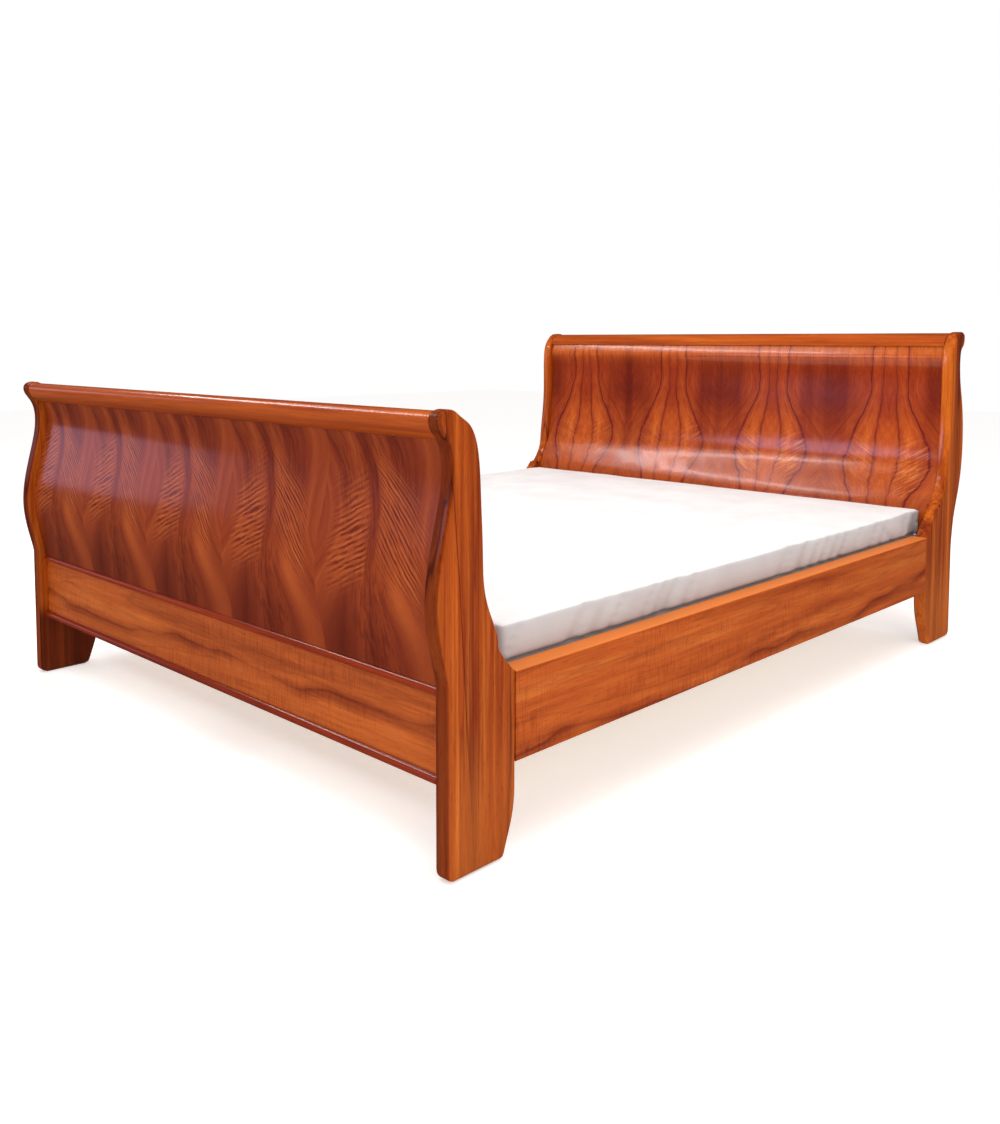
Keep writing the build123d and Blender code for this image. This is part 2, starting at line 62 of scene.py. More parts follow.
def add_camera():
    """A metre up, off the near foot corner, looking across the bed to the far head corner."""
    place = (2.4241, -2.6069, 1.0570)
    yaw = Matrix.Rotation(math.radians(43.94), 4, "Z")
    tilt = Matrix.Rotation(math.radians(90 - 4.13), 4, "X")
    roll = Matrix.Rotation(math.radians(0.10), 4, "Z")
    data = bpy.data.cameras.new("camera")
    data.lens = 33.84
    data.shift_x = -0.0060
    data.shift_y = -0.1283
    camera = bpy.data.objects.new("camera", data)
    camera.matrix_world = Matrix.Translation(place) @ yaw @ tilt @ roll
    bpy.context.scene.collection.objects.link(camera)
    bpy.context.scene.camera = camera


def add_softbox(name, place, target, size, power, colour, shape="RECTANGLE", mirrored=True, lights=True):
    """An area light at place, facing target: seen in the gloss, lighting the bed, or both."""
    data = bpy.data.lights.new(name, "AREA")
    data.shape = shape
    data.size, data.size_y = size
    data.energy = power
    data.color = colour
    light = bpy.data.objects.new(name, data)
    facing = (Vector(target) - Vector(place)).to_track_quat("-Z", "Y")
    light.matrix_world = Matrix.Translation(place) @ facing.to_matrix().to_4x4()
    light.visible_glossy = mirrored
    light.visible_diffuse = lights
    bpy.context.scene.collection.objects.link(light)


def mix_by_ray(tree, ray, chosen, otherwise):
    """One shader for rays of that kind, another for the rest."""
    path = tree.nodes.new("ShaderNodeLightPath")
    mix = tree.nodes.new("ShaderNodeMixShader")
    tree.links.new(path.outputs[ray], mix.inputs["Fac"])
    tree.links.new(otherwise, mix.inputs[1])
    tree.links.new(chosen, mix.inputs[2])
    return mix.outputs["Shader"]


def flat_light(tree, kind, colour, strength):
    """The output of a Background or Emission shader of one colour."""
    made = tree.nodes.new("ShaderNode" + kind)
    made.inputs["Color"].default_value = colour
    made.inputs["Strength"].default_value = strength
    return made.outputs[0]


def add_world():
    """White behind the bed, even light all round it, and a dim room for the gloss to reflect."""
    world = bpy.data.worlds.new("studio")
    world.use_nodes = True
    tree = world.node_tree
    shown = flat_light(tree, "Background", white, 1.0)
    lit = flat_light(tree, "Background", (1.0, 0.98, 0.96, 1), 0.62)
    reflected = flat_light(tree, "Background", (0.9, 0.86, 1.0, 1), 0.03)
    unseen = mix_by_ray(tree, "Is Glossy Ray", reflected, lit)
    shader = mix_by_ray(tree, "Is Camera Ray", shown, unseen)
    tree.links.new(shader, tree.nodes["World Output"].inputs["Surface"])
    bpy.context.scene.world = world
    bpy.context.scene.view_settings.view_transform = "Standard"


def add_floor():
    """A plain pale floor, wide enough to reach behind the bed in every view.

    It glows a little, so that only the bed's contact shadow greys it, and looks dim in the gloss.
    """
    half = 14.0
    mesh = bpy.data.meshes.new("floor")
    corners = [(-half, -half, 0), (half, -half, 0), (half, half, 0), (-half, half, 0)]
    mesh.from_pydata(corners, [], [(0, 1, 2, 3)])
    floor = bpy.data.objects.new("floor", mesh)
    bpy.context.scene.collection.objects.link(floor)
    pale = bpy.data.materials.new("pale_floor")
    pale.use_nodes = True
    tree = pale.node_tree
    shader = tree.nodes["Principled BSDF"]
    shader.inputs["Base Color"].default_value = (0.93, 0.93, 0.93, 1)
    shader.inputs["Roughness"].default_value = 0.9
    shader.inputs["Specular IOR Level"].default_value = 0.1
    shader.inputs["Emission Color"].default_value = white
    shader.inputs["Emission Strength"].default_value = 0.42
    dim = flat_light(tree, "Emission", (1.0, 0.8, 0.66, 1), 0.06)
    mixed = mix_by_ray(tree, "Is Glossy Ray", dim, shader.outputs["BSDF"])
    tree.links.new(mixed, tree.nodes["Material Output"].inputs["Surface"])
    mesh.materials.append(pale)


add_camera()
add_world()
add_softbox(
    "ceiling",
    place=(0.3, -0.4, 3.6),
    target=(0, 0, 0.3),
    size=(4.5, 4.5),
    power=125,
    colour=(1.0, 0.99, 0.97),
    mirrored=False,
)
add_softbox(
    "front_right",
    place=(4.6, -2.2, 2.4),
    target=(0, 0.2, 0.4),
    size=(2.4, 1.2),
    power=40,
    colour=(1.0, 0.97, 0.93),
    mirrored=False,
)
add_softbox(
    "window_left",
    place=(-8.9, -4.6, 1.75),
    target=(0, -0.8, 0.6),
    size=(3.6, 2.2),
    power=20,
    colour=(0.86, 0.62, 0.94),
    shape="ELLIPSE",
)
add_softbox(
    "window_far",
    place=(-5.0, -9.0, 2.9),
    target=(0.2, 1.2, 0.7),
    size=(3.0, 2.4),
    power=90,
    colour=(0.72, 0.62, 1.0),
    shape="ELLIPSE",
    lights=False,
)
add_softbox(
    "overhead_left",
    place=(-2.4, -2.0, 3.0),
    target=(0, 0, 0.8),
    size=(2.5, 1.2),
    power=27,
    colour=(1.0, 0.92, 0.95),
    lights=False,
)
add_softbox(
    "strip",
    place=(-2.6, -1.9, 2.9),
    target=(-0.1, 1.2, 1.0),
    size=(2.6, 0.12),
    power=20,
    colour=(1.0, 0.95, 0.98),
    lights=False,
)
add_floor()


# ------------------------------------------------------------------ material graphs
def paint(red, green, blue):
    """A screen colour, 0 to 255, as the linear colour that shaders take."""
    def linear(value):
        value /= 255
        return value / 12.92 if value <= 0.04045 else ((value + 0.055) / 1.055) ** 2.4
    return (linear(red), linear(green), linear(blue), 1.0)


class Graph:
    """A material's node tree, with one short method for each kind of node used here."""

    def __init__(self, name):
        self.material = bpy.data.materials.new(name)
        self.material.use_nodes = True
        self.tree = self.material.node_tree
        self.shader = self.tree.nodes["Principled BSDF"]
        self.place = self.node("TexCoord").outputs["Object"]
        self.x, self.y, self.z = self.node("SeparateXYZ", Vector=self.place).outputs

    def node(self, kind, **inputs):
        """A new node; an underscore in an input's name stands for a space."""
        made = self.tree.nodes.new("ShaderNode" + kind)
        for name, value in inputs.items():
            self.put(made.inputs[name.replace("_", " ")], value)
        return made

    def put(self, socket, value):
        """Links the socket to another node's output, or sets it to a constant."""
        if isinstance(value, bpy.types.NodeSocket):
            self.tree.links.new(value, socket)
        else:
            socket.default_value = value

    def math(self, operation, *values):
        made = self.tree.nodes.new("ShaderNodeMath")
        made.operation = operation
        for socket, value in zip(made.inputs, values):
            self.put(socket, value)
        return made.outputs["Value"]

    def times(self, *values):
        """The product of all the values."""
        product = values[0]
        for value in values[1:]:
            product = self.math("MULTIPLY", product, value)
        return product

    def plus(self, *values):
        """The sum of all the values."""
        total = values[0]
        for value in values[1:]:
            total = self.math("ADD", total, value)
        return total

    def vector(self, x, y, z):
        made = self.node("CombineXYZ", X=x, Y=y, Z=z)
        return made.outputs["Vector"]

    def noise(self, vector, scale, detail=2.0, roughness=0.5, distortion=0.0):
        made = self.node("TexNoise", Vector=vector, Scale=scale, Detail=detail)
        made.inputs["Roughness"].default_value = roughness
        made.inputs["Distortion"].default_value = distortion
        return made.outputs["Fac"]

    def smooth(self, value, low, high, start=0.0, end=1.0):
        """start at low, end at high and an even S between them; low may be the larger one."""
        made = self.tree.nodes.new("ShaderNodeMapRange")
        made.interpolation_type = "SMOOTHSTEP"
        for name, given in (("From Min", low), ("From Max", high), ("To Min", start), ("To Max", end)):
            made.inputs[name].default_value = given
        self.put(made.inputs["Value"], value)
        return made.outputs["Result"]

    def ramp(self, value, stops):
        """A colour for every value, from (position, colour) stops."""
        made = self.node("ValToRGB", Fac=value)
        elements = made.color_ramp.elements
        while len(elements) < len(stops):
            elements.new(0.5)
        for element, (position, colour) in zip(elements, stops):
            element.position = position
            element.color = colour
        return made.outputs["Color"]

    def mix(self, amount, first, second, blend="MIX"):
        made = self.tree.nodes.new("ShaderNodeMix")
        made.data_type = "RGBA"
        made.blend_type = blend
        # The node has sockets for every data type: inputs 6 and 7 and output 2 are the colours.
        self.put(made.inputs["Factor"], amount)
        self.put(made.inputs[6], first)
        self.put(made.inputs[7], second)
        return made.outputs[2]

    def line(self, value, place, width):
        """1 where value is at place, fading to 0 at width to either side."""
        away = self.math("ABSOLUTE", self.math("SUBTRACT", value, place))
        return self.smooth(away, 0.0, width, 1.0, 0.0)

    def bump(self, height, distance, strength=1.0):
        made = self.node("Bump", Height=height, Distance=distance, Strength=strength)
        return made.outputs["Normal"]

    def finish(self, colour, roughness=0.5, normal=None, **constants):
        """Wires the shader; every constant goes straight on its own socket."""
        self.put(self.shader.inputs["Base Color"], colour)
        self.put(self.shader.inputs["Roughness"], roughness)
        if normal is not None:
            self.put(self.shader.inputs["Normal"], normal)
        for name, value in constants.items():
            self.shader.inputs[name.replace("_", " ")].default_value = value
        return self.material


# ------------------------------------------------------------------ timber
heartwood_dark = paint(112, 32, 8)
heartwood_red = paint(142, 54, 14)
heartwood_brown = paint(172, 76, 20)
heartwood_orange = paint(194, 92, 28)
heartwood_gold = paint(216, 120, 46)
even_brown = paint(190, 88, 30)
even_gold = paint(222, 116, 50)
vein_dark = paint(84, 14, 8)
vein_purple = paint(104, 18, 20)
# Tints to multiply with.
shade = (0.6, 0.45, 0.35, 1)
plum_shade = (0.6, 0.42, 0.4, 1)
line_shade = (0.5, 0.32, 0.28, 1)
deep_shade = (0.42, 0.24, 0.2, 1)


def squeezed(graph, axis, stretch):
    """Object space squeezed along the grain, so that what is noise across it runs as streaks."""
    parts = {"x": graph.x, "y": graph.y, "z": graph.z}
    parts[axis] = graph.math("MULTIPLY", parts[axis], stretch)
    return graph.vector(parts["x"], parts["y"], parts["z"])


def darken(graph, colour, amount, tint):
    """The colour multiplied by tint, by an amount that varies from place to place."""
    return graph.mix(amount, colour, tint, "MULTIPLY")


def lacquer(graph, colour, fine, coat_roughness=0.12, coat=0.9, waviness=0.10):
    """Clear gloss over the timber: the grain shows a little in the sheen below the coat."""
    roughness = graph.smooth(fine, 0.2, 0.8, 0.36, 0.52)
    normal = graph.bump(fine, 0.0003, 0.2)
    waves = graph.noise(graph.place, 16, 1, 0.5)
    graph.put(graph.shader.inputs["Coat Normal"], graph.bump(waves, 0.0006, waviness))
    graph.put(graph.shader.inputs["Coat Weight"], coat)
    return graph.finish(
        colour,
        roughness,
        normal,
        Coat_Roughness=coat_roughness,
        Coat_IOR=1.42,
        Specular_IOR_Level=0.06,
    )


def pores(graph, colour, axis):
    """Short dark dashes along the grain, where the vessels of the timber are cut open."""
    dashes = graph.noise(squeezed(graph, axis, 0.06), 520, 1, 0.5)
    return darken(graph, colour, graph.smooth(dashes, 0.62, 0.72, 0.0, 0.45), (0.45, 0.3, 0.25, 1))


def knots(graph, colour, axis, size):
    """A few small knots: dark specks in a rounder figure."""
    cells = graph.node("TexVoronoi", Vector=squeezed(graph, axis, 0.45), Scale=4.2)
    near = graph.smooth(cells.outputs["Distance"], size * 0.3, size, 1.0, 0.0)
    return graph.mix(graph.times(near, 0.6), colour, vein_dark)


def fine_grain(graph, colour, fibre, scale):
    """Hair-thin darker lines along the fibre; also returns them, for the sheen."""
    fine = graph.noise(fibre, scale, 3, 0.6)
    return darken(graph, colour, graph.smooth(fine, 0.35, 0.62, 0.3, 0.0), shade), fine


def straight_timber(graph, axis, straight, calm, calm_colour=even_brown):
    """Gold to red-brown bands along the grain, mixed towards one even colour by calm."""
    band = graph.noise(squeezed(graph, axis, straight), 17, 6, 0.62, 0.2)
    colour = graph.ramp(band, [
        (0.28, heartwood_dark),
        (0.38, heartwood_red),
        (0.46, heartwood_brown),
        (0.56, heartwood_orange),
        (0.70, heartwood_gold),
    ])
    colour = graph.mix(calm, colour, calm_colour)
    streak = graph.noise(squeezed(graph, axis, 0.03), 90, 4, 0.6)
    return darken(graph, colour, graph.smooth(streak, 0.40, 0.60, 0.35, 0.0), (0.72, 0.55, 0.45, 1))


def wandering_vein(graph, colour, axis, straight, strength):
    """Dark veins that drift across the grain now and then."""
    wander = graph.noise(squeezed(graph, axis, straight), 6, 3, 0.55, 0.4)
    halo = graph.times(graph.line(wander, 0.52, 0.045), 0.5 * strength)
    colour = graph.mix(halo, colour, heartwood_dark)
    return graph.mix(graph.times(graph.line(wander, 0.50, 0.010), strength), colour, vein_dark)


def smoky_streak(graph, colour, along, height):
    """One long reddish streak that drifts up and down a board, soft at its edges."""
    path = graph.noise(graph.vector(along, 0.0, height), 1.5, 3, 0.45)
    drift = graph.times(graph.math("SUBTRACT", path, 0.5), 0.26)
    drawn_out = graph.vector(graph.times(along, 0.14), 0.0, graph.z)
    ragged = graph.times(graph.noise(drawn_out, 60, 3, 0.6), 0.020)
    level = graph.plus(graph.math("SUBTRACT", graph.z, drift), ragged)
    come_and_go = graph.smooth(graph.noise(graph.vector(along, 5.0, 0.0), 2.2, 2), 0.36, 0.56, 0.25, 1.0)
    smoke = graph.times(graph.line(level, height, 0.030), come_and_go, 0.65)
    colour = graph.mix(smoke, colour, paint(120, 36, 14))
    thread = graph.times(graph.line(level, height + 0.004, 0.006), come_and_go, 0.42)
    return graph.mix(thread, colour, vein_dark)


def chatter_marks(graph, colour, along):
    """Fine ticks across the grain, in patches: the ripple of the figure in a plain board."""
    ticks = graph.noise(graph.vector(along, graph.times(graph.z, 0.08), 0.0), 210, 2, 0.5)
    patches = graph.smooth(graph.noise(graph.place, 3, 2), 0.36, 0.60)
    amount = graph.times(graph.smooth(ticks, 0.48, 0.66), patches, 0.5)
    return darken(graph, colour, amount, (0.62, 0.45, 0.4, 1))


def board_timber(name, axis, streak_height, calm_colour, top_edge=None):
    """A plain board, its grain along axis; a top edge that shows gets a painted highlight, as if lit from
    above, and less gloss.
    """
    graph = Graph(name)
    along = {"x": graph.x, "y": graph.y}[axis]
    colour = straight_timber(graph, axis, 0.07, 0.38, calm_colour)
    colour = wandering_vein(graph, colour, axis, 0.10, 0.2)
    colour = smoky_streak(graph, colour, along, streak_height)
    colour = knots(graph, colour, axis, 0.026)
    colour = chatter_marks(graph, colour, along)
    colour = pores(graph, colour, axis)
    colour, fine = fine_grain(graph, colour, squeezed(graph, axis, 0.03), 420)
    if top_edge is None:
        return lacquer(graph, colour, fine)
    # Painted light: the board's top face is painted a brighter orange, as lit from overhead.
    top = graph.smooth(graph.z, top_edge - 0.0030, top_edge - 0.0012)
    colour = graph.mix(graph.times(top, 0.7), colour, paint(234, 132, 56))
    return lacquer(graph, colour, fine, coat=graph.smooth(top, 0.0, 1.0, 0.9, 0.12))


def moulding_timber(name, tint, shaded_below):
    """Straight-grained timber of the rolls and the beads, with painted shade below a height, on the roll's
    underside.
    """
    graph = Graph(name)
    colour = straight_timber(graph, "x", 0.05, 0.25)
    colour = darken(graph, colour, 1.0, tint)
    # Painted shade: the timber darkens below this height, as on the shaded underside of the foot's top
    # roll.
    under = graph.smooth(graph.z, shaded_below - 0.025, shaded_below, 0.6, 0.0)
    colour = darken(graph, colour, under, shade)
    colour, fine = fine_grain(graph, colour, squeezed(graph, "x", 0.03), 420)
    return lacquer(graph, colour, fine)


def post_lines(graph, colour):
    """Gold and dark lines up the posts, some 10 mm apart, and a yellower tint over all."""
    lines = graph.noise(squeezed(graph, "z", 0.02), 70, 4, 0.6)
    colour = graph.mix(graph.smooth(lines, 0.52, 0.66, 0.0, 0.5), colour, heartwood_gold)
    colour = darken(graph, colour, graph.smooth(lines, 0.36, 0.48, 0.6, 0.0), shade)
    return darken(graph, colour, 1.0, (1.0, 0.97, 0.6, 1))


def foot_post_bands(graph, colour, foot_end):
    """Darker bands up the foot posts, placed by their distance outwards from the rails' joint."""
    out = graph.math("SUBTRACT", graph.times(graph.y, -1.0), foot_joint)
    by_the_rail = graph.smooth(out, 0.080, 0.100, 1.0, 0.0)
    thin_line = graph.line(out, 0.108, 0.0035)
    by_the_front = graph.smooth(out, 0.166, 0.186)
    for band, strength in ((by_the_rail, 0.50), (thin_line, 0.55), (by_the_front, 0.60)):
        colour = darken(graph, colour, graph.times(band, foot_end, strength), (0.56, 0.38, 0.34, 1))
    return colour


def post_timber():
    """Upright grain, with painted shade on the foot posts' front edges and on the inner faces of all the
    legs.
    """
    graph = Graph("post_timber")
    colour = straight_timber(graph, "z", 0.035, 0.05)
    colour = post_lines(graph, colour)
    colour = wandering_vein(graph, colour, "z", 0.045, 0.7)
    colour = knots(graph, colour, "z", 0.028)
    low = graph.smooth(graph.z, 0.10, 0.34, 0.35, 0.0)
    colour = graph.mix(low, colour, heartwood_gold)
    foot_end = graph.math("LESS_THAN", graph.y, 0.0)
    colour = foot_post_bands(graph, colour, foot_end)
    # Painted shade: foot-post faces turned towards the foot end are darkened, as they lie in shade; the
    # coat is thinner there too.
    facing = graph.node("SeparateXYZ", Vector=graph.node("NewGeometry").outputs["Normal"])
    shaded_front_edge = graph.smooth(facing.outputs["Y"], -0.85, -0.35, 1.0, 0.0)
    shaded_front_edge = graph.times(shaded_front_edge, foot_end)
    colour = darken(graph, colour, graph.times(shaded_front_edge, 0.8), (0.42, 0.28, 0.24, 1))
    # Painted shade: the legs' inner faces, low down under the bed, are darkened as by the shadow beneath
    # it.
    shaded_inner_face = graph.math("LESS_THAN", graph.math("ABSOLUTE", graph.x), post_inner_x + 0.005)
    leg = graph.smooth(graph.z, 0.17, 0.24, 1.0, 0.0)
    colour = darken(graph, colour, graph.times(shaded_inner_face, leg), (0.26, 0.16, 0.10, 1))
    colour = pores(graph, colour, "z")
    colour, fine = fine_grain(graph, colour, squeezed(graph, "z", 0.03), 420)
    return lacquer(graph, colour, fine, coat=graph.smooth(shaded_front_edge, 0.0, 1.0, 0.9, 0.2))


def leaf_coordinate(graph, pitch, middle):
    """Signed distance from the middle of the veneer leaf that a point lies in."""
    shifted = graph.math("ADD", graph.x, pitch / 2 - middle)
    within = graph.math("FLOORED_MODULO", shifted, pitch)
    return graph.math("SUBTRACT", within, pitch / 2)


def barb_wave(graph, across, level, barb_pitch=0.013):
    """A wave between -1 and 1 along level, one turn to a barb, with a drift that sets them apart."""
    place = graph.vector(graph.times(across, 10.0), 0.0, graph.times(level, 34.0))
    drift = graph.noise(place, 1.0, 3, 0.6)
    turns = graph.times(level, 2 * math.pi / barb_pitch)
    return graph.math("SINE", graph.plus(turns, graph.times(drift, 13.0)))


def barb_patch(graph, side, level, warp):
    """1 where a plume has barbs, with ragged edges at its sides, foot and top."""
    ragged_side = graph.plus(side, graph.times(warp, 0.12))
    reach = graph.times(graph.smooth(side, 0.006, 0.030), graph.smooth(ragged_side, 0.11, 0.17, 1.0, 0.0))
    ragged_level = graph.plus(level, graph.times(warp, 0.20))
    foot = graph.smooth(ragged_level, 0.55, 0.63)
    top = graph.smooth(ragged_level, 0.74, 0.84, 1.0, 0.0)
    return graph.times(reach, graph.times(foot, top))


def plume_barbs(graph, colour, across, side, warp):
    """Dark and light barbs: they slope gently to the left of each stem, steeply to its right."""
    fall_left = graph.times(graph.math("MINIMUM", across, 0.0), -0.45)
    right_of_stem = graph.math("GREATER_THAN", across, 0.0)
    fall_right = graph.times(right_of_stem, graph.math("SUBTRACT", across, 0.065))
    level = graph.plus(graph.z, fall_left, fall_right)
    barb = barb_wave(graph, across, level)
    patch = barb_patch(graph, side, level, warp)
    place = graph.vector(graph.times(across, 22.0), 0.0, graph.times(level, 80.0))
    broken = graph.noise(place, 1.0, 2, 0.5)
    dark = graph.times(patch, graph.smooth(barb, 0.1, 0.9), graph.smooth(broken, 0.36, 0.56))
    light = graph.times(patch, graph.smooth(barb, 0.0, -0.9), graph.smooth(broken, 0.40, 0.60, 0.3, 1.0))
    colour = graph.mix(graph.times(patch, 0.35), colour, paint(190, 88, 36))
    colour = darken(graph, colour, graph.times(dark, 0.9), deep_shade)
    return graph.mix(graph.times(light, 0.34), colour, paint(222, 124, 62))


def plume_wedges(graph, colour, flow):
    """Below each plume, a light wedge to the right of the stem and a dark one to its left."""
    below = graph.smooth(graph.z, 0.54, 0.66, 1.0, 0.0)
    light = graph.times(graph.line(flow, 0.055, 0.026), below)
    colour = graph.mix(graph.times(light, 0.6), colour, paint(204, 98, 36))
    dark = graph.times(graph.line(flow, -0.050, 0.030), below)
    return darken(graph, colour, graph.times(dark, 0.42), (0.55, 0.38, 0.34, 1))


def plume_lines(graph, colour, fibre, flow, side):
    """Dark lines along the fibre, on the arms between the plumes and beside each stem."""
    lines = graph.smooth(graph.noise(fibre, 230, 3, 0.6), 0.46, 0.58)
    arms = graph.times(graph.line(side, 0.100, 0.045), graph.smooth(graph.z, 0.62, 0.76))
    colour = darken(graph, colour, graph.times(arms, 0.30), plum_shade)
    colour = darken(graph, colour, graph.times(arms, lines, 0.75), line_shade)
    stem = graph.line(flow, 0.0, 0.030)
    colour = darken(graph, colour, graph.times(stem, 0.35), plum_shade)
    beside_stem = graph.times(graph.smooth(side, 0.10, 0.03), lines)
    return darken(graph, colour, graph.times(beside_stem, 0.6), line_shade)


def foot_veneer():
    """Five slip-matched leaves of crotch figure, each a plume: barbs fall away from a stem."""
    pitch = 0.38
    graph = Graph("foot_veneer")
    warp = graph.math("SUBTRACT", graph.noise(graph.place, 5, 3, 0.5), 0.5)
    lean = graph.smooth(graph.z, 0.66, 0.92, 0.0, -0.07)
    across = graph.math("SUBTRACT", leaf_coordinate(graph, pitch, -0.02), lean)
    across = graph.plus(across, graph.times(warp, 0.03))
    side = graph.math("ABSOLUTE", across)
    fan_down = graph.smooth(graph.z, 0.34, 0.66, 1.9, 0.0)
    fan_up = graph.smooth(graph.z, 0.68, 0.92, 0.0, 0.5)
    flow = graph.math("DIVIDE", across, graph.plus(fan_down, fan_up, 1.0))
    fibre = graph.vector(flow, 0.0, graph.times(graph.z, 0.07))
    colour = graph.ramp(graph.noise(fibre, 24, 4, 0.5, 0.1), [
        (0.30, paint(124, 42, 16)),
        (0.44, paint(144, 54, 20)),
        (0.56, paint(160, 66, 24)),
        (0.72, paint(182, 84, 32)),
    ])
    colour = plume_wedges(graph, colour, flow)
    colour = plume_lines(graph, colour, fibre, flow, side)
    colour = plume_barbs(graph, colour, across, side, warp)
    # Painted shade: darker towards the bottom, where the lower belly faces down, away from the light.
    low = graph.smooth(graph.z, 0.40, 0.56, 0.75, 0.0)
    colour = darken(graph, colour, low, (0.62, 0.46, 0.38, 1))
    colour, fine = fine_grain(graph, colour, fibre, 900)
    return lacquer(graph, colour, fine, coat_roughness=0.17)


def head_veins(graph, colour, flow):
    """Dark veins at their places across a leaf, each in a soft red shadow."""
    for place, width, strength in ((0.066, 0.0042, 0.9), (0.020, 0.0034, 0.65), (0.098, 0.003, 0.25)):
        vein = graph.line(flow, place, width)
        halo = graph.line(flow, place, width * 4)
        colour = graph.mix(graph.times(halo, 0.45 * strength), colour, paint(134, 38, 20))
        colour = graph.mix(graph.times(vein, strength), colour, vein_purple)
    return colour


def head_ripples(graph, colour, across, side, flow, warp):
    """Light and dark ripples in a V inside the belly of each vase."""
    level = graph.math("SUBTRACT", graph.z, graph.times(side, 0.6))
    place = graph.vector(graph.times(across, 14.0), 0.0, graph.times(level, 130.0))
    ripple = graph.noise(place, 1.0, 2.5, 0.6, 0.4)
    inside = graph.times(graph.smooth(side, 0.02, 0.08), graph.smooth(flow, 0.058, 0.072, 1.0, 0.0))
    height = graph.times(graph.smooth(graph.z, 0.46, 0.54), graph.smooth(graph.z, 0.64, 0.74, 1.0, 0.0))
    ruffle = graph.times(inside, height, graph.smooth(warp, -0.12, 0.08, 0.3, 1.0))
    light = graph.times(ruffle, graph.smooth(ripple, 0.50, 0.38))
    dark = graph.times(ruffle, graph.smooth(ripple, 0.50, 0.62))
    colour = graph.mix(graph.times(light, 0.40), colour, paint(240, 158, 84))
    return darken(graph, colour, graph.times(dark, 0.55), (0.6, 0.4, 0.3, 1))


def vase_flow(graph, side, warp):
    """Distance from a leaf's middle, as drawn on a vase: narrow neck, swollen belly, narrow foot."""
    wobble = graph.math("SUBTRACT", graph.noise(graph.place, 26, 3, 0.6), 0.5)
    ruffled = graph.smooth(graph.z, 0.60, 0.74, 0.026, 0.006)
    wobbled = graph.plus(side, graph.times(warp, 0.06), graph.times(wobble, ruffled))
    swell = graph.smooth(graph.z, 0.62, 0.90, 1.45, 0.0)
    foot = graph.smooth(graph.z, 0.44, 0.62, 0.95, 0.0)
    opening = graph.math("SUBTRACT", graph.plus(swell, 1.0), foot)
    return graph.math("DIVIDE", wobbled, opening)


def head_ground(graph, fibre, side):
    """Bands along the fibre, quieter between the vases, warmer low down and under the cap."""
    colour = graph.ramp(graph.noise(fibre, 20, 6, 0.62, 0.3), [
        (0.30, paint(156, 56, 16)),
        (0.44, paint(182, 74, 22)),
        (0.56, paint(200, 90, 28)),
        (0.74, paint(220, 116, 44)),
    ])
    upright = graph.vector(graph.x, 0.0, graph.times(graph.z, 0.07))
    quiet_band = graph.noise(upright, 14, 5, 0.55)
    quiet = graph.ramp(quiet_band, [(0.36, paint(146, 50, 16)), (0.64, paint(182, 78, 26))])
    between = graph.smooth(side, 0.08, 0.15, 0.0, 0.92)
    colour = graph.mix(between, colour, quiet)
    warm = graph.smooth(graph.z, 0.56, 0.74, 0.45, 0.0)
    colour = graph.mix(warm, colour, paint(206, 104, 42))
    under_cap = graph.smooth(graph.z, 0.96, 1.03, 0.0, 0.6)
    return graph.mix(under_cap, colour, paint(222, 118, 44))


def head_painted_shade(graph, colour, side):
    """Painted shade below the cap, deepest between the vases."""
    high = graph.times(graph.smooth(graph.z, 0.70, 0.84), graph.smooth(graph.z, 0.94, 1.02, 0.85, 0.0))
    colour = darken(graph, colour, high, (0.62, 0.40, 0.32, 1))
    shade_between_vases = graph.times(graph.smooth(side, 0.10, 0.20), graph.line(graph.z, 0.86, 0.16))
    return darken(graph, colour, graph.times(shade_between_vases, 0.5), (0.62, 0.42, 0.38, 1))


def head_veneer():
    """Book-matched leaves: dark veins run down side by side, then swell out like a vase."""
    pitch = 0.484
    graph = Graph("head_veneer")
    warp = graph.math("SUBTRACT", graph.noise(graph.place, 4, 4, 0.55), 0.5)
    across = leaf_coordinate(graph, pitch, 0.01 + pitch / 2)
    side = graph.math("ABSOLUTE", across)
    flow = vase_flow(graph, side, warp)
    fibre = graph.vector(flow, 0.0, graph.times(graph.z, 0.16))
    colour = head_ground(graph, fibre, side)
    lines = graph.noise(fibre, 130, 4, 0.65)
    colour = darken(graph, colour, graph.smooth(lines, 0.42, 0.60, 0.5, 0.0), (0.66, 0.46, 0.36, 1))
    colour = head_veins(graph, colour, flow)
    joint = graph.smooth(side, pitch / 2 - 0.035, pitch / 2, 0.0, 0.35)
    colour = darken(graph, colour, joint, (0.6, 0.4, 0.36, 1))
    colour = head_ripples(graph, colour, across, side, flow, warp)
    # Painted shade across the upper head, under the cap.
    colour = head_painted_shade(graph, colour, side)
    colour, fine = fine_grain(graph, colour, fibre, 700)
    return lacquer(graph, colour, fine, coat_roughness=0.14, waviness=0.03)


# ------------------------------------------------------------------ plain timber, steel, felt, plastic
def planed_softwood(name, axis, light, dark):
    """Unfinished boards: pale, with soft darker year rings along axis and a few knots."""
    graph = Graph(name)
    rings = graph.noise(squeezed(graph, axis, 0.05), 60, 4, 0.55, 0.3)
    colour = graph.ramp(rings, [(0.35, dark), (0.60, light)])
    cells = graph.node("TexVoronoi", Vector=squeezed(graph, axis, 0.5), Scale=3.1)
    knot = graph.smooth(cells.outputs["Distance"], 0.02, 0.05, 0.8, 0.0)
    colour = graph.mix(knot, colour, paint(120, 74, 38))
    fine = graph.noise(squeezed(graph, axis, 0.03), 380, 2, 0.6)
    colour = darken(graph, colour, graph.smooth(fine, 0.35, 0.6, 0.25, 0.0), (0.75, 0.62, 0.5, 1))
    return graph.finish(colour, graph.smooth(fine, 0.3, 0.7, 0.55, 0.7), graph.bump(fine, 0.0004, 0.4))


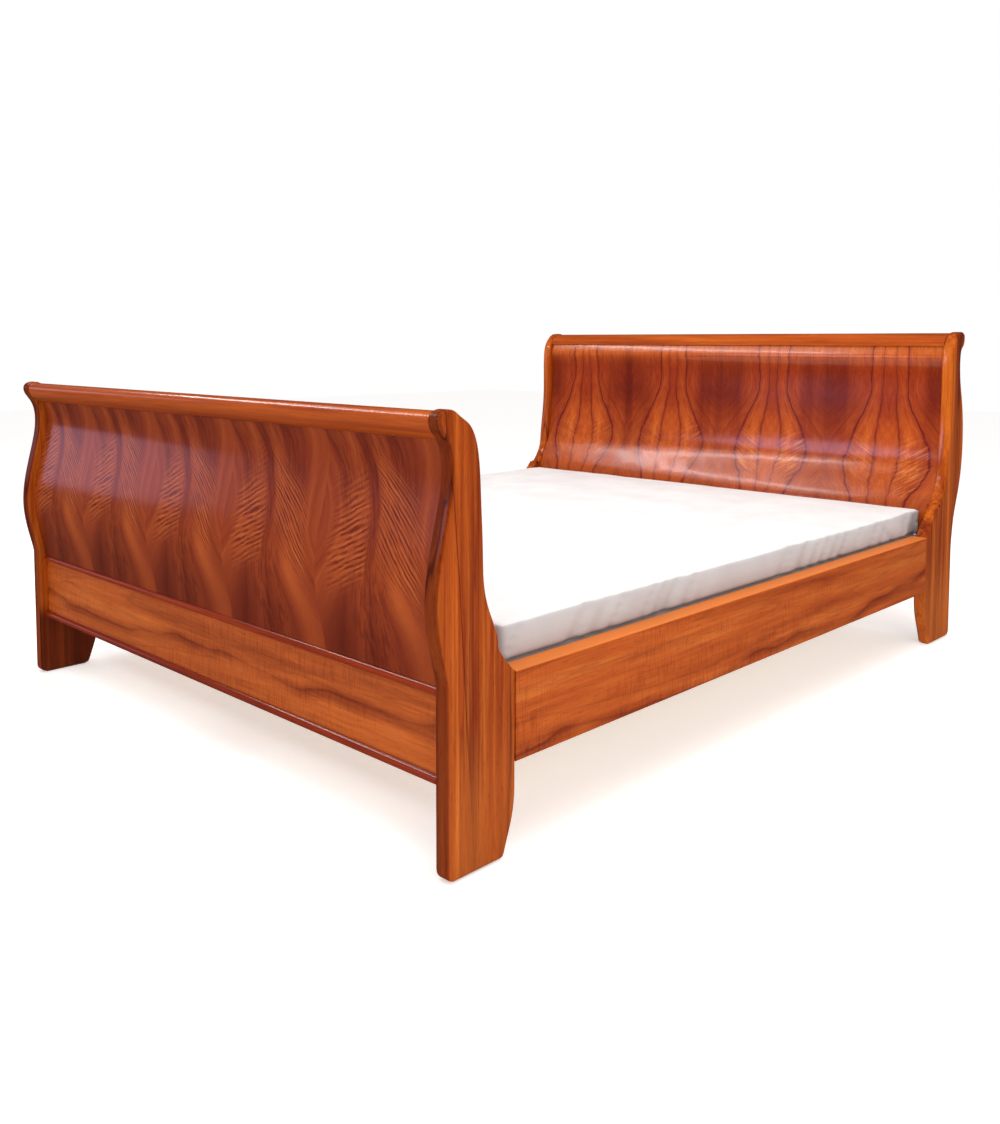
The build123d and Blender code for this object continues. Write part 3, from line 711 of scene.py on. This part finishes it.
def brushed_steel(name, light, dark, scale):
    """Zinc-plated steel: fine brushing up its height and a faint cloudiness."""
    graph = Graph(name)
    clouds = graph.noise(graph.place, 40, 3, 0.6)
    brushing = graph.noise(squeezed(graph, "z", 0.08), scale, 2, 0.6)
    colour = graph.ramp(clouds, [(0.3, dark), (0.7, light)])
    roughness = graph.smooth(brushing, 0.3, 0.7, 0.28, 0.46)
    return graph.finish(colour, roughness, graph.bump(brushing, 0.0002, 0.3), Metallic=1.0)


def pressed_felt():
    """Grey-brown felt: matted fibres, dull all over."""
    graph = Graph("felt")
    fibres = graph.noise(graph.place, 900, 3, 0.7, 0.5)
    colour = graph.ramp(fibres, [(0.35, paint(66, 58, 50)), (0.65, paint(112, 102, 90))])
    return graph.finish(colour, graph.smooth(fibres, 0.3, 0.7, 0.85, 1.0), graph.bump(fibres, 0.001, 0.8))


def moulded_plastic():
    """Near-black plastic with a fine moulded grain."""
    graph = Graph("glide_plastic")
    grain = graph.noise(graph.place, 600, 2, 0.6)
    colour = graph.ramp(grain, [(0.35, paint(32, 30, 29)), (0.65, paint(50, 48, 46))])
    return graph.finish(colour, graph.smooth(grain, 0.3, 0.7, 0.42, 0.6), graph.bump(grain, 0.0003, 0.3))


def mattress_fabric():
    """White cover with a fine weave; the sides get painted shade, a greyer white than the top."""
    graph = Graph("mattress_cover")
    weave_x = graph.math("SINE", graph.times(graph.plus(graph.x, graph.z), 2400.0))
    weave_y = graph.math("SINE", graph.times(graph.plus(graph.y, graph.z), 2400.0))
    weave = graph.times(weave_x, weave_y)
    mottle = graph.noise(graph.place, 7, 4, 0.6)
    colour = graph.ramp(mottle, [(0.3, paint(228, 226, 227)), (0.7, paint(238, 237, 237))])
    # Painted shade: upright faces are greyed, as the mattress's sides lie in less light than its top.
    facing = graph.node("SeparateXYZ", Vector=graph.node("NewGeometry").outputs["Normal"])
    upright = graph.smooth(facing.outputs["Z"], 0.35, 0.9, 1.0, 0.0)
    colour = darken(graph, colour, graph.times(upright, 0.9), (0.66, 0.63, 0.63, 1))
    return graph.finish(colour, graph.smooth(mottle, 0.3, 0.7, 0.75, 0.9), graph.bump(weave, 0.0003, 0.15))


base_light = paint(208, 170, 120)
base_dark = paint(182, 140, 92)
slot_materials = {
    "polished_post": post_timber(),
    "polished_board": board_timber("board_across", "x", streak_height=0.285, calm_colour=even_gold),
    "polished_moulding": moulding_timber("roll_timber", tint=(1.0, 0.96, 0.90, 1), shaded_below=0.905),
    "foot_veneer": foot_veneer(),
    "head_veneer": head_veneer(),
    "slat_timber": planed_softwood("slat_timber", "x", paint(222, 190, 142), paint(198, 160, 110)),
    "base_timber": planed_softwood("base_timber", "y", base_light, base_dark),
    "joinery_timber": planed_softwood("joinery_timber", "x", paint(212, 178, 130), paint(188, 150, 104)),
    "plated_steel": brushed_steel("plated_steel", paint(196, 196, 194), paint(168, 168, 168), 500),
    "zinc_screws": brushed_steel("zinc_screws", paint(206, 202, 190), paint(176, 172, 160), 900),
    "felt": pressed_felt(),
    "glide_plastic": moulded_plastic(),
    "mattress_cover": mattress_fabric(),
}

# Nodes whose grain runs another way, or whose tint differs, from the rest of their slot.
rail_timber = board_timber(
    "board_along", "y", streak_height=0.235, calm_colour=even_brown, top_edge=rail_top
)
bead_timber = moulding_timber("bead_timber", tint=(0.70, 0.40, 0.42, 1), shaded_below=0.20)
leg_timber = planed_softwood("leg_timber", "z", base_light, base_dark)
special_timber = {
    "side_rail_left": rail_timber,
    "side_rail_right": rail_timber,
    "foot_bead_top": bead_timber,
    "foot_bead_bottom": bead_timber,
    "centre_leg_foot": leg_timber,
    "centre_leg_middle": leg_timber,
    "centre_leg_head": leg_timber,
}
for part in frame["record"]["subparts"]:
    name = part["node"]
    material = special_timber.get(name, slot_materials[part["material_slot"]])
    nodes[name].material_slots[0].material = material


# ------------------------------------------------------------------ posts with rounded edges
def face_loop(mesh, x):
    """The points around the flat face of a CAD mesh that lies at x, in order."""
    flat = {v.index for v in mesh.vertices if abs(v.co.x - x) < 1e-5}
    uses = {}
    for polygon in mesh.polygons:
        if all(index in flat for index in polygon.vertices):
            for edge in polygon.edge_keys:
                uses[edge] = uses.get(edge, 0) + 1
    following = {}
    for (a, b), count in uses.items():
        if count == 1:
            following.setdefault(a, []).append(b)
            following.setdefault(b, []).append(a)
    start = min(following)
    loop = [start]
    previous, current = None, start
    while True:
        step = [i for i in following[current] if i != previous][0]
        if step == start:
            break
        loop.append(step)
        previous, current = current, step
    return [mesh.vertices[i].co.copy() for i in loop]


def thin_out(loop, spacing):
    """The loop without the points that crowd closer than spacing."""
    kept = [loop[0]]
    for point in loop[1:]:
        if (point - kept[-1]).length >= spacing and (point - loop[0]).length >= spacing:
            kept.append(point)
    return kept


def inward_steps(loop):
    """At each point of a closed (y, z) loop, the step that insets both its edges by one unit."""
    area = sum(a.y * b.z - b.y * a.z for a, b in zip(loop, loop[1:] + loop[:1]))
    turn = 1 if area > 0 else -1
    steps = []
    for i, point in enumerate(loop):
        back = (point - loop[i - 1]).normalized()
        ahead = (loop[(i + 1) % len(loop)] - point).normalized()
        first = Vector((0, -back.z, back.y)) * turn
        second = Vector((0, -ahead.z, ahead.y)) * turn
        middle = (first + second).normalized()
        steps.append(middle / max(middle.dot(first), 0.5))
    return steps


def rounded_sections(low_x, high_x, radius, steps):
    """(x, inset) of each section through a board whose two edges are quarter rounds."""
    turns = [math.pi / 2 * k / steps for k in range(steps + 1)]
    quarter = [(radius * (1 - math.sin(t)), radius * (1 - math.cos(t))) for t in turns]
    falling = [(low_x + depth, inset) for depth, inset in quarter]
    rising = [(high_x - depth, inset) for depth, inset in quarter]
    return falling[::-1] + rising


def round_post(name, edge_radius=0.008, edge_steps=6, spacing=0.004):
    """The CAD post's own outline, as a solid whose long edges are rounded over."""
    low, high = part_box(name)
    outer_x = high.x if high.x > 0 else low.x
    loop = thin_out(face_loop(nodes[name].data, outer_x), spacing)
    steps = inward_steps(loop)
    form = bmesh.new()
    rings = []
    for x, inset in rounded_sections(low.x, high.x, edge_radius, edge_steps):
        places = [point + step * inset for point, step in zip(loop, steps)]
        rings.append([form.verts.new((x, place.y, place.z)) for place in places])
    for ring, following in zip(rings, rings[1:]):
        for i in range(len(loop)):
            j = (i + 1) % len(loop)
            form.faces.new((ring[i], ring[j], following[j], following[i])).smooth = True
    form.faces.new(rings[0])
    form.faces.new(rings[-1])
    bmesh.ops.recalc_face_normals(form, faces=form.faces)
    mesh = bpy.data.meshes.new(name + "_rounded")
    form.to_mesh(mesh)
    form.free()
    mesh.materials.append(slot_materials["polished_post"])
    post = bpy.data.objects.new(name + "_rounded", mesh)
    bpy.context.scene.collection.objects.link(post)
    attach(post, "bedstead")
    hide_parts(name)


for end in ("foot", "head"):
    for side in ("left", "right"):
        round_post(f"{end}_post_{side}")


# ------------------------------------------------------------------ mattress
side_inset = 0.004
edge_radius = 0.013
edge_top_drop = 0.020  # how far the top's edge lies below the top of the CAD mattress
crown = 0.016  # how far the middle of the top rises above its edge
unevenness = 0.002
crease_depth = 0.014
tuck = 0.015  # how far the sides draw in between the rails
tuck_start = 0.004  # above the top of the rails, where the sides begin to draw in
tuck_drop = 0.006  # the height over which they do so


def rounded(point, low, high, radius):
    """A point of a box moved onto the same box with rounded edges and corners."""
    core = Vector(min(max(p, l + radius), h - radius) for p, l, h in zip(point, low, high))
    away = point - core
    return core + away.normalized() * radius if away.length > radius else point


def fold(place, spacing, slope):
    """0 to 1, ridged along slanting lines: the creases of a cover pulled over a corner."""
    value = noise.noise(Vector(((place.y + slope * place.z) / spacing, place.x * 2, 0.5)))
    return max(0.0, 1 - abs(value) * 5) ** 2


def add_sheet(form, corner, first_edge, second_edge, first_count, second_count):
    """A flat grid from corner, spanning the two edges, with that many cells along each."""
    rows = []
    for i in range(first_count + 1):
        start = corner + first_edge * (i / first_count)
        places = [start + second_edge * (j / second_count) for j in range(second_count + 1)]
        rows.append([form.verts.new(place) for place in places])
    for row, following in zip(rows, rows[1:]):
        for j in range(second_count):
            form.faces.new((row[j], following[j], following[j + 1], row[j + 1]))


def box_grid(low, high, cell, side_cell):
    """The six faces of a box as one closed grid, side_cell apart in height and cell apart elsewhere."""
    size = high - low
    edges = [Vector((size.x, 0, 0)), Vector((0, size.y, 0)), Vector((0, 0, size.z))]
    counts = [round(size.x / cell), round(size.y / cell), round(size.z / side_cell)]
    form = bmesh.new()
    for fixed in range(3):
        u, v = [axis for axis in range(3) if axis != fixed]
        for corner in (low, low + edges[fixed]):
            add_sheet(form, corner, edges[u], edges[v], counts[u], counts[v])
    bmesh.ops.remove_doubles(form, verts=form.verts, dist=side_cell / 10)
    bmesh.ops.recalc_face_normals(form, faces=form.faces)
    return form


def shaped(point, low, high):
    """Where a point of the plain box goes: rounded, crowned, creased, drawn in between the rails."""
    place = rounded(point, low, high, edge_radius)
    middle = (low + high) / 2
    size = high - low
    u = (place.x - middle.x) / (size.x / 2)
    v = (place.y - middle.y) / (size.y / 2)
    upper = max(0.0, (place.z - low.z) / size.z * 2 - 1)
    place.z += crown * (1 - abs(u) ** 3) * (1 - abs(v) ** 3) * upper
    place.z += unevenness * noise.noise(place * 5) * upper
    at_side = max(abs(u), abs(v)) ** 24  # 1 at the sides, and next to nothing a hand's width in
    sunk = min(1.0, max(0.0, (rail_top + tuck_start - place.z) / tuck_drop))
    long_creases = fold(place, spacing=0.16, slope=1.4) * max(0.0, v - 0.2)
    short_creases = 0.5 * fold(place, spacing=0.07, slope=-0.8)
    inward = at_side * (crease_depth * (long_creases + short_creases) + tuck * sunk)
    if abs(u) > abs(v):
        place.x -= math.copysign(inward, u)
    else:
        place.y -= math.copysign(inward, v)
    return place


def make_mattress(cell=0.016, side_cell=0.006):
    """A thin foam mattress in a soft white cover: crowned top, rounded edges, a few creases."""
    low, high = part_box("mattress")
    low = low + Vector((side_inset, side_inset, 0))
    high = high - Vector((side_inset, side_inset, edge_top_drop))
    form = box_grid(low, high, cell, side_cell)
    for vert in form.verts:
        vert.co = shaped(vert.co, low, high)
    mesh = bpy.data.meshes.new("mattress_cover")
    form.to_mesh(mesh)
    form.free()
    for polygon in mesh.polygons:
        polygon.use_smooth = True
    mesh.materials.append(slot_materials["mattress_cover"])
    mattress = bpy.data.objects.new("mattress_cover", mesh)
    bpy.context.scene.collection.objects.link(mattress)
    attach(mattress, "mattress_body")
    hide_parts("mattress")


make_mattress()
